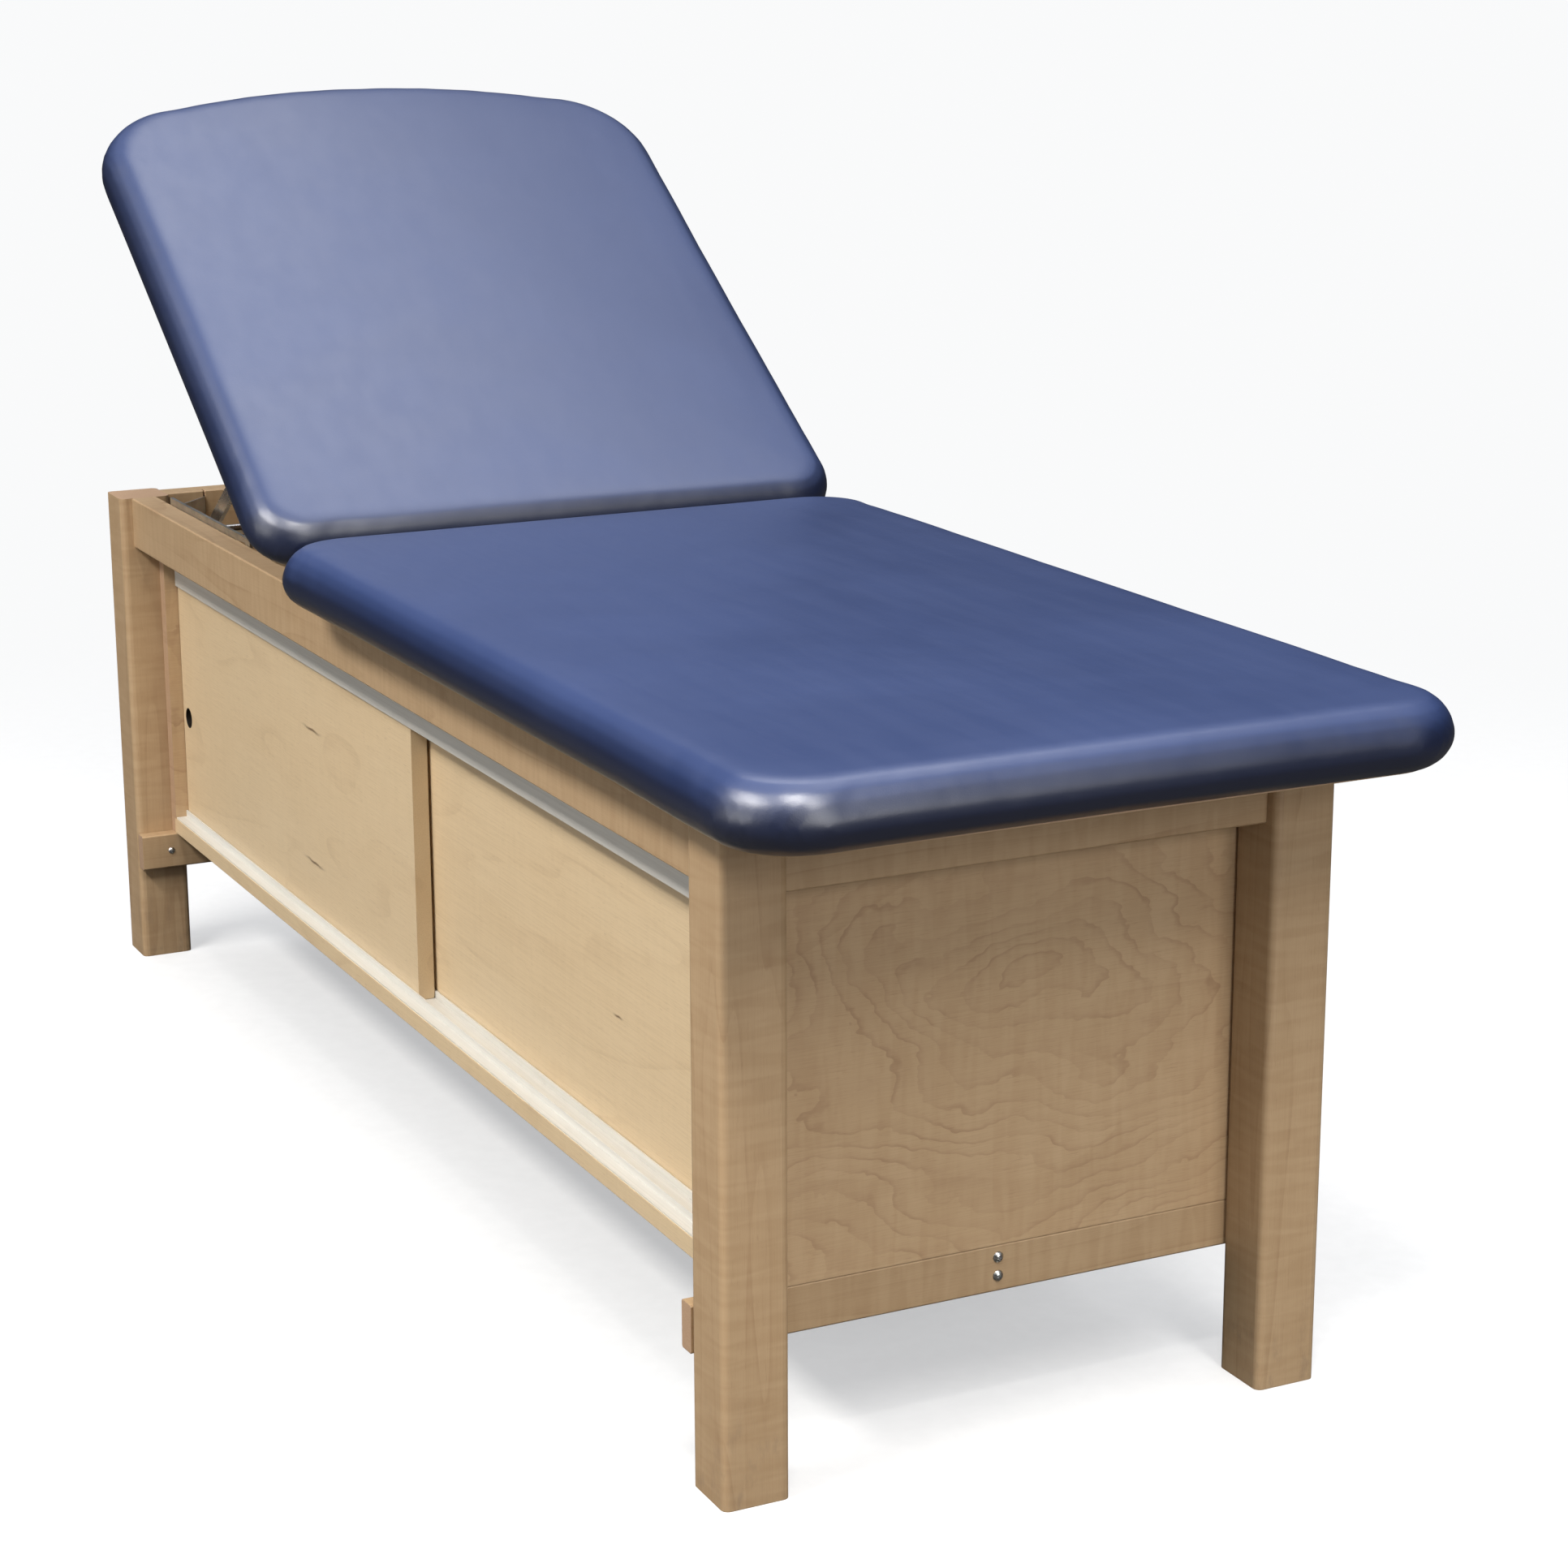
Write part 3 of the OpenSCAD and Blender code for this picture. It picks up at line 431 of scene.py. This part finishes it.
def foam_material():
    s = Shader("foam")
    cells = s.node("TexVoronoi", {"Vector": s.place, "Scale": 900.0}).outputs["Distance"]
    colour = s.mix(s.fit(cells, 0.2, 0.7), (0.70, 0.58, 0.30, 1), (0.46, 0.36, 0.16, 1))
    return s.finish(Base_Color=colour, Roughness=0.95, Normal=s.bump(cells, 0.4 * MM, 0.8))


def paint(names, material):
    """Gives CAD nodes a material and each its own place in the tree the wood was cut from."""
    for name in names:
        node = NODES[name]
        node.data.materials.clear()
        node.data.materials.append(material)
        node.pass_index = 1 + sorted(NODES).index(name) % TREE_SPOTS


def on_face(node, along, up):
    """A point on the -Y face of a node, at shares of its length from the head end and of its height."""
    low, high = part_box(node)
    return Vector((low.x + along * (high.x - low.x), low.y, low.z + up * (high.z - low.z)))


def paint_door(door, streaks, outer_end):
    """Veneer with a finger hole near the door's outer end, which is "head" or "foot"."""
    low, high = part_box(door)
    x = low.x + FINGER_HOLE_IN if outer_end == "head" else high.x - FINGER_HOLE_IN
    hole = Vector((x, 0, low.z + FINGER_HOLE_UP))
    veneer = maple_veneer("maple_" + door, "X", edge_plies="banded", streaks=streaks, hole=hole)
    paint([door], veneer)


def finish_cad_nodes():
    """Materials for every CAD node; returns the vinyl, which the visual pads take too."""
    legs = [n for n in NODES if n.startswith("leg_") and n != "leg_screws"]
    paint(legs, solid_maple("Z"))
    paint(["side_rail_front", "side_rail_rear", "centre_stretcher"], solid_maple("X"))
    paint(
        ["end_rail_head", "end_rail_foot", "hinge_cross_rail", "bottom_rail_head", "bottom_rail_foot"],
        solid_maple("Y"),
    )
    head_streaks = (
        (on_face("door_head", 0.61, 0.71), 0.085, 2.6 * MM),
        (on_face("door_head", 0.60, 0.21), 0.090, 2.6 * MM),
    )
    foot_streaks = ((on_face("door_foot", 0.62, 0.39), 0.030, 2.0 * MM),)
    paint_door("door_head", head_streaks, "head")
    paint_door("door_foot", foot_streaks, "foot")

    panel_low, panel_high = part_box("cabinet_end_foot")
    eye = panel_low.lerp(panel_high, 0.5)
    eye.y = panel_low.y + 0.60 * (panel_high.y - panel_low.y)
    eye.z = panel_low.z + 0.67 * (panel_high.z - panel_low.z)
    end_panels = maple_veneer("maple_end_panels", "Y", PANEL, 0.12, eye=eye)
    paint(["cabinet_end_foot", "cabinet_end_head"], end_panels)
    paint(
        ["cabinet_deck", "cabinet_back", "header_front", "header_rear"],
        maple_veneer("maple_panels", "X"),
    )
    paint(
        ["seat_platform", "seat_board", "back_board"],
        maple_veneer("birch_boards", "X", SOLID, 0.20, edge_plies="Z"),
    )

    paint(["lower_track", "upper_track"], track_plastic())
    zinc = (0.60, 0.60, 0.59, 1)
    paint(["corner_brackets"], metal("zinc_brackets", zinc, 0.34, (300, 300, 30)))
    paint(["guide_plate_front", "guide_plate_rear"], metal("zinc_guides", zinc, 0.32, (20, 300, 400)))
    paint(
        ["hinge_leaf_seat", "hinge_leaf_back", "prop_brackets", "corner_bolts", "corner_nuts"],
        metal("zinc_fittings", zinc, 0.32, (300, 40, 300)),
    )
    paint([n for n in NODES if "screws" in n], metal("zinc_screws", zinc, 0.26, (400, 400, 400)))
    paint(
        ["prop_frame", "prop_pins", "hinge_pin"],
        metal("bright_steel", (0.66, 0.66, 0.67, 1), 0.20, (500, 30, 500), 0.1),
    )
    paint(["head_bumpers"], black_rubber())
    paint(["seat_foam", "back_foam"], foam_material())
    vinyl = blue_vinyl()
    paint(["seat_cover", "back_cover"], vinyl)
    return vinyl


# ---------- upholstered pads ----------


def flat_box(node):
    """Corners of a CAD node, with the raised backrest laid flat again."""
    raised = frame["record"]["behaviour"]["bodies"]["backrest"]
    undo = RAISE.inverted() if node in raised else Matrix()
    points = np.array([undo @ v.co for v in NODES[node].data.vertices])
    return Vector(points.min(0)), Vector(points.max(0))


def rounded_outline(x0, x1, half, r0, r1, inset, bow=0.0, steps=9):
    """Points round a rounded rectangle, shrunk by inset; r0 and r1 round its x0 and x1 ends.

    With a bow, the middle of the x0 end reaches that far past its corners in one arc.
    """
    arc = r0 + (bow ** 2 + (half - r0) ** 2) / (2 * bow) if bow else 0.0
    points = []
    corners = ((x1, 1, r1, 0), (x0, 1, r0, 90), (x0, -1, r0, 180), (x1, -1, r1, 270))
    for x, side, radius, start in corners:
        radius = max(radius, inset + MIN_CORNER)
        centre_x = x - radius if x == x1 else x + radius
        centre_y = side * (half - radius)
        end = start + 90
        if bow and x == x0:
            centre_x = x0 + arc - math.sqrt((arc - radius) ** 2 - centre_y ** 2)
            turn = math.degrees(math.asin(abs(centre_y) / (arc - radius)))
            start, end = (90, 180 - turn) if side == 1 else (180 + turn, 270)
            if side == -1:
                for step in range(1, steps):
                    angle = math.radians(180 - turn + 2 * turn * step / steps)
                    reach = arc - inset
                    points.append((x0 + arc + reach * math.cos(angle), reach * math.sin(angle)))
        for step in range(steps + 1):
            angle = math.radians(start + (end - start) * step / steps)
            reach = radius - inset
            points.append((centre_x + reach * math.cos(angle), centre_y + reach * math.sin(angle)))
    return points


def pad_profile(bottom, top):
    """(inset, height) pairs from the underside's middle, round the rim, to the top's middle."""
    rim_low = [math.radians(a) for a in range(-90, 1, 15)]
    rim_high = [math.radians(a) for a in range(0, 91, 10)]
    profile = [(0.2, bottom)]
    profile += [
        (SIDE_ROUND * (1 - math.cos(a)), bottom + SIDE_ROUND * (1 + math.sin(a))) for a in rim_low
    ]
    profile += [
        (TOP_ROUND * (1 - math.cos(a)), top - CROWN - TOP_ROUND * (1 - math.sin(a))) for a in rim_high
    ]
    for inset in (0.07, 0.11, 0.16, 0.22, CROWN_REACH):
        rise = 1 - (1 - inset / CROWN_REACH) ** 2
        profile.append((inset, top - CROWN * (1 - rise)))
    return profile


def loft(name, rings):
    """Closed mesh through rings of equal length, capped at both ends."""
    count = len(rings[0])
    verts = [point for ring in rings for point in ring]
    faces = []
    for level in range(len(rings) - 1):
        for i in range(count):
            a = level * count + i
            b = level * count + (i + 1) % count
            faces.append((a, b, b + count, a + count))
    faces.append(tuple(reversed(range(count))))
    last = (len(rings) - 1) * count
    faces.append(tuple(range(last, last + count)))
    mesh = bpy.data.meshes.new(name)
    mesh.from_pydata(verts, [], faces)
    mesh.update()
    return mesh


def evaluated(obj):
    """The object's mesh with its modifiers applied."""
    graph = bpy.context.evaluated_depsgraph_get()
    return bpy.data.meshes.new_from_object(obj.evaluated_get(graph), depsgraph=graph)


def positions(mesh):
    flat = np.zeros(len(mesh.vertices) * 3)
    mesh.vertices.foreach_get("co", flat)
    return flat.reshape(-1, 3)


def set_positions(mesh, points):
    mesh.vertices.foreach_set("co", np.asarray(points, dtype=np.float32).ravel())
    mesh.update()


def spread_out(mesh, values, rounds):
    """Moves every vertex's value toward the mean of its neighbours' values, rounds times."""
    ends = np.empty(len(mesh.edges) * 2, dtype=np.int32)
    mesh.edges.foreach_get("vertices", ends)
    a, b = ends.reshape(-1, 2).T
    total = len(values)
    neighbours = np.bincount(a, minlength=total) + np.bincount(b, minlength=total)
    for _ in range(rounds):
        sums = [np.bincount(a, v[b], total) + np.bincount(b, v[a], total) for v in values.T]
        values = 0.5 * values + 0.5 * np.stack(sums, axis=1) / neighbours[:, None]
    return values


def blow_up(obj, floor_z, cap):
    """Swells a closed mesh as pressurised cloth; its underside is held and no point moves past cap.

    The vinyl is pulled tight, so only PUCKER of the cloth's fine folds is kept.
    """
    start = positions(obj.data)
    held = obj.vertex_groups.new(name="held")
    held.add([int(i) for i in np.nonzero(start[:, 2] < floor_z + HELD_UP)[0]], 1.0, "REPLACE")
    cloth = obj.modifiers.new("Cloth", "CLOTH")
    settings = cloth.settings
    settings.quality = 4
    settings.mass = 0.35
    settings.tension_stiffness = 18
    settings.compression_stiffness = 18
    settings.shear_stiffness = 6
    settings.bending_stiffness = 1.2
    settings.shrink_min = -0.012
    settings.use_pressure = True
    settings.uniform_pressure_force = 4.0
    settings.vertex_group_mass = "held"
    settings.effector_weights.gravity = 0.0
    cloth.collision_settings.use_collision = False
    scene = bpy.context.scene
    cloth.point_cache.frame_start = 1
    cloth.point_cache.frame_end = CLOTH_FRAMES
    for step in range(1, CLOTH_FRAMES + 1):
        scene.frame_set(step)
    swollen = positions(evaluated(obj))
    obj.modifiers.remove(cloth)
    obj.vertex_groups.clear()
    scene.frame_set(1)
    move = swollen - start
    broad = spread_out(obj.data, move, SMOOTH_ROUNDS)
    move = broad + PUCKER * (move - broad)
    length = np.linalg.norm(move, axis=1, keepdims=True)
    eased = cap * np.tanh(length / cap)
    set_positions(obj.data, start + move * eased / np.maximum(length, 1e-9))


def make_pad(name, x0, x1, half, r0, r1, bottom, top, opening, bow=0.0):
    """A padded board's cover, laid flat. opening is where the board's underside shows."""
    shrink = START_IN
    rings = [
        [(x, y, z) for x, y in rounded_outline(x0, x1, half, r0, r1, inset + shrink, bow)]
        for inset, z in pad_profile(bottom, top - shrink)
    ]
    obj = bpy.data.objects.new(name, loft(name, rings))
    bpy.context.scene.collection.objects.link(obj)
    remesh = obj.modifiers.new("Remesh", "REMESH")
    remesh.mode = "VOXEL"
    remesh.voxel_size = CLOTH_VOXEL
    mesh = evaluated(obj)
    obj.modifiers.clear()
    obj.data = mesh
    blow_up(obj, bottom, SWELL)
    points = positions(mesh)
    ox0, ox1, oy = opening
    inside = (points[:, 0] > ox0) & (points[:, 0] < ox1) & (np.abs(points[:, 1]) < oy)
    under = points[:, 2] < bottom + UNDER_UP
    points[inside & under, 2] = bottom + BOARD_UP
    set_positions(mesh, points)
    mesh.polygons.foreach_set("use_smooth", [True] * len(mesh.polygons))
    divide = obj.modifiers.new("Subdivision", "SUBSURF")
    divide.levels = 1
    divide.render_levels = 1
    return obj


def make_pads(vinyl):
    """Both visual pads, in place of the CAD covers and foams."""
    seat_low, seat_high = flat_box("seat_cover")
    back_low, back_high = flat_box("back_cover")
    half = seat_high.y
    near_seat = HINGE.x + PAD_NOSE
    near_back = HINGE.x - PAD_NOSE
    seat_opening = (near_seat + BOARD_IN, seat_high.x - TUCK, half - TUCK)
    back_opening = (back_low.x + HEAD_BOW + TUCK, near_back - BOARD_IN, half - TUCK)
    seat = make_pad(
        "seat_pad", near_seat, seat_high.x, half, SEAT_CORNER, SEAT_CORNER,
        seat_low.z, seat_high.z, seat_opening,
    )
    back = make_pad(
        "backrest_pad", back_low.x, near_back, half, HEAD_CORNER, BACK_CORNER,
        back_low.z, back_high.z, back_opening, HEAD_BOW,
    )
    back.data.transform(RAISE)
    # Each pad takes the vinyl and hides its CAD cover and foam; the bend points near the hinge are
    # worked out but not used
    give = Vector((PAD_GIVE, 0, 0))
    lean = RAISE.to_3x3() @ give
    bends = (
        (seat, "seat", "table", "backrest", HINGE + give, HINGE - give),
        (back, "back", "backrest", "table", HINGE - lean, HINGE + lean),
    )
    for pad, node, body, other, start, end in bends:
        pad.data.materials.clear()
        pad.data.materials.append(vinyl)
        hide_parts(node + "_cover", node + "_foam")
        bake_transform(pad)


def staple(place, turn):
    """Corners and faces of one staple: a crown bar with its two legs going up into the board."""
    verts = []
    faces = []
    wire = STAPLE_WIRE
    side = STAPLE_WIDTH / 2
    bars = (
        ((-side, -wire, -wire), (side, wire, wire)),
        ((-side, -wire, 0), (-side + 2 * wire, wire, STAPLE_LEG)),
        ((side - 2 * wire, -wire, 0), (side, wire, STAPLE_LEG)),
    )
    box_faces = (
        (0, 1, 3, 2), (4, 6, 7, 5), (0, 4, 5, 1), (2, 3, 7, 6), (0, 2, 6, 4), (1, 5, 7, 3),
    )
    for low, high in bars:
        base = len(verts)
        for x in (low[0], high[0]):
            for y in (low[1], high[1]):
                for z in (low[2], high[2]):
                    verts.append(place + Matrix.Rotation(turn, 3, "Z") @ Vector((x, y, z)))
        for face in box_faces:
            faces.append(tuple(base + i for i in face))
    return verts, faces


def staple_rows(name, x0, x1, half, z, lift, body, material):
    """Staples along three sides of a flat pad's underside, from x0 to x1 and from -half to half.

    lift brings them to the pad's place. None stands where a bumper meets the pad.
    """
    bumpers = [v.co.xy for v in NODES["head_bumpers"].data.vertices]
    spots = []
    edge = TUCK - STAPLE_OUT
    for i in range(int((x1 - x0 - 2 * SIDE_ROW_GAP) / STAPLE_STEP)):
        x = x0 + SIDE_ROW_GAP + i * STAPLE_STEP
        for side in (-1, 1):
            spots.append((Vector((x, side * (half - edge), z)), 0.0))
    far = x0 + edge if body == "backrest" else x1 - edge
    row = 2 * half - 2 * END_ROW_GAP
    count = int(row / STAPLE_STEP)
    for i in range(count + 1):
        y = -half + END_ROW_GAP + i * row / count
        spots.append((Vector((far, y, z)), math.pi / 2))
    verts = []
    faces = []
    for place, turn in spots:
        if min((place.xy - corner).length for corner in bumpers) < BUMPER_GAP:
            continue
        base = len(verts)
        new_verts, new_faces = staple(place, turn)
        verts += new_verts
        faces += [tuple(base + i for i in face) for face in new_faces]
    mesh = bpy.data.meshes.new(name)
    mesh.from_pydata(verts, [], faces)
    mesh.transform(lift)
    mesh.materials.append(material)
    obj = bpy.data.objects.new(name, mesh)
    bpy.context.scene.collection.objects.link(obj)
    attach(obj, body)


def staple_pads(metal_finish):
    low, high = flat_box("seat_cover")
    near = HINGE.x + PAD_NOSE
    staple_rows("seat_staples", near, high.x, high.y, low.z, Matrix(), "table", metal_finish)
    low, high = flat_box("back_cover")
    near = HINGE.x - PAD_NOSE
    straight_end = low.x + HEAD_BOW
    staple_rows(
        "backrest_staples", straight_end, near, high.y, low.z, RAISE, "backrest", metal_finish,
    )


# ---------- stage ----------


def world():
    """Pale backdrop for the camera; a dim hall with a bright ceiling for light and reflections."""
    made = bpy.data.worlds.new("studio")
    bpy.context.scene.world = made
    made.use_nodes = True
    tree = made.node_tree
    tree.nodes.clear()
    link = tree.links.new

    def node(kind, **settings):
        n = tree.nodes.new("ShaderNode" + kind)
        for key, value in settings.items():
            setattr(n, key, value)
        return n

    direction = node("TexCoord")
    parts = node("SeparateXYZ")
    link(direction.outputs["Generated"], parts.inputs[0])
    ramp = node("ValToRGB")
    link(parts.outputs["Z"], ramp.inputs[0])
    stops = ((0.0, 0.02), (0.12, 0.035), (0.35, 0.10), (0.72, 0.55), (1.0, 1.0))
    while len(ramp.color_ramp.elements) < len(stops):
        ramp.color_ramp.elements.new(0.5)
    for element, (place, grey) in zip(ramp.color_ramp.elements, stops):
        element.position = place
        element.color = (grey * 0.98, grey, grey * 1.03, 1)
    room = node("Background")
    room.inputs["Strength"].default_value = 1.2
    link(ramp.outputs[0], room.inputs["Color"])
    backdrop = node("Background")
    backdrop.inputs["Color"].default_value = (0.93, 0.935, 0.94, 1)
    backdrop.inputs["Strength"].default_value = 1.0
    ray = node("LightPath")
    mix = node("MixShader")
    link(ray.outputs["Is Camera Ray"], mix.inputs[0])
    link(room.outputs[0], mix.inputs[1])
    link(backdrop.outputs[0], mix.inputs[2])
    output = node("OutputWorld")
    link(mix.outputs[0], output.inputs["Surface"])


def floor():
    """Wide pale floor that fades to an even tone away from the table.

    Only the camera sees it pale: light and reflections meet the dark floor of a hall.
    """
    reach = 60
    corners = [(-reach, -reach, 0), (reach, -reach, 0), (reach, reach, 0), (-reach, reach, 0)]
    mesh = bpy.data.meshes.new("floor")
    mesh.from_pydata(corners, [], [(0, 1, 2, 3)])
    obj = bpy.data.objects.new("floor", mesh)
    bpy.context.scene.collection.objects.link(obj)
    s = Shader("floor")
    grain = s.noise(s.place, 40.0, 4.0, 0.6)
    tone = s.fit(grain, 0.3, 0.7, 0.47, 0.49)
    near = s.node("AddShader", {
        0: s.node("BsdfDiffuse", {"Color": s.join(tone, tone, tone)}).outputs[0],
        1: s.node("Emission", {"Color": (0.97, 0.98, 1.0, 1), "Strength": 0.46}).outputs[0],
    }).outputs[0]
    even = s.node("Emission", {"Color": (0.95, 0.955, 0.96, 1), "Strength": 1.0}).outputs[0]
    away = s.node("VectorMath", {0: s.place}, operation="LENGTH").outputs["Value"]
    pale = s.node("MixShader", {0: s.fit(away, 1.1, 3.2), 1: near, 2: even}).outputs[0]
    dark = s.node("BsdfDiffuse", {"Color": (0.07, 0.068, 0.065, 1)}).outputs[0]
    seen = s.node("LightPath").outputs["Is Camera Ray"]
    mixed = s.node("MixShader", {0: seen, 1: dark, 2: pale}).outputs[0]
    output = s.node("OutputMaterial")
    s.tree.links.new(mixed, output.inputs["Surface"])
    mesh.materials.append(s.material)


def softbox(name, place, target, width, depth, power, colour=(1, 1, 1)):
    light = bpy.data.lights.new(name, "AREA")
    light.shape = "RECTANGLE"
    light.size = width
    light.size_y = depth
    light.energy = power
    light.color = colour
    obj = bpy.data.objects.new(name, light)
    obj.location = place
    aim = Vector(target) - Vector(place)
    obj.rotation_euler = aim.to_track_quat("-Z", "Y").to_euler()
    bpy.context.scene.collection.objects.link(obj)


def lights():
    """Lamps under a hall's ceiling, and two low ones that fill the foot end and the doors' side."""
    warm = (1.0, 0.97, 0.92)
    softbox("overhead", (-0.5, 0.6, 3.2), (-0.2, 0, 0.8), 2.8, 1.0, 26)
    softbox("door_side", (0.5, -2.6, 3.1), (0.3, 0, 0.4), 2.2, 0.5, 125, warm)
    softbox("corner", (1.95, -0.7, 3.1), (0.5, 0, 0.5), 0.6, 0.6, 58, warm)
    softbox("foot", (3.0, 0.1, 3.1), (0.6, 0, 0.4), 0.6, 1.2, 46, warm)
    softbox("foot_fill", (4.2, 0.3, 1.5), (0.7, 0, 0.4), 2.0, 1.5, 50)
    softbox("door_fill", (0.5, -4.5, 1.4), (0.2, 0, 0.4), 3.0, 1.5, 50)


def camera():
    """Seen from the foot end, on the doors' side."""
    azimuth = math.radians(63.69)
    elevation = math.radians(14.73)
    roll = math.radians(-0.20)
    target = Vector((0.351, -0.006, 0.498))
    distance = 3.342
    toward = Vector((
        math.sin(azimuth) * math.cos(elevation),
        -math.cos(azimuth) * math.cos(elevation),
        math.sin(elevation),
    ))
    data = bpy.data.cameras.new("camera")
    data.lens = 78.2
    data.sensor_width = 36
    obj = bpy.data.objects.new("camera", data)
    obj.location = target + toward * distance
    turn = Matrix.Rotation(azimuth, 3, "Z") @ Matrix.Rotation(math.pi / 2 - elevation, 3, "X")
    obj.rotation_euler = (turn @ Matrix.Rotation(roll, 3, "Z")).to_euler()
    bpy.context.scene.collection.objects.link(obj)
    bpy.context.scene.camera = obj


bpy.context.scene.view_settings.view_transform = "Standard"
make_pads(finish_cad_nodes())
staple_pads(NODES["seat_screws"].data.materials[0])
world()
floor()
lights()
camera()
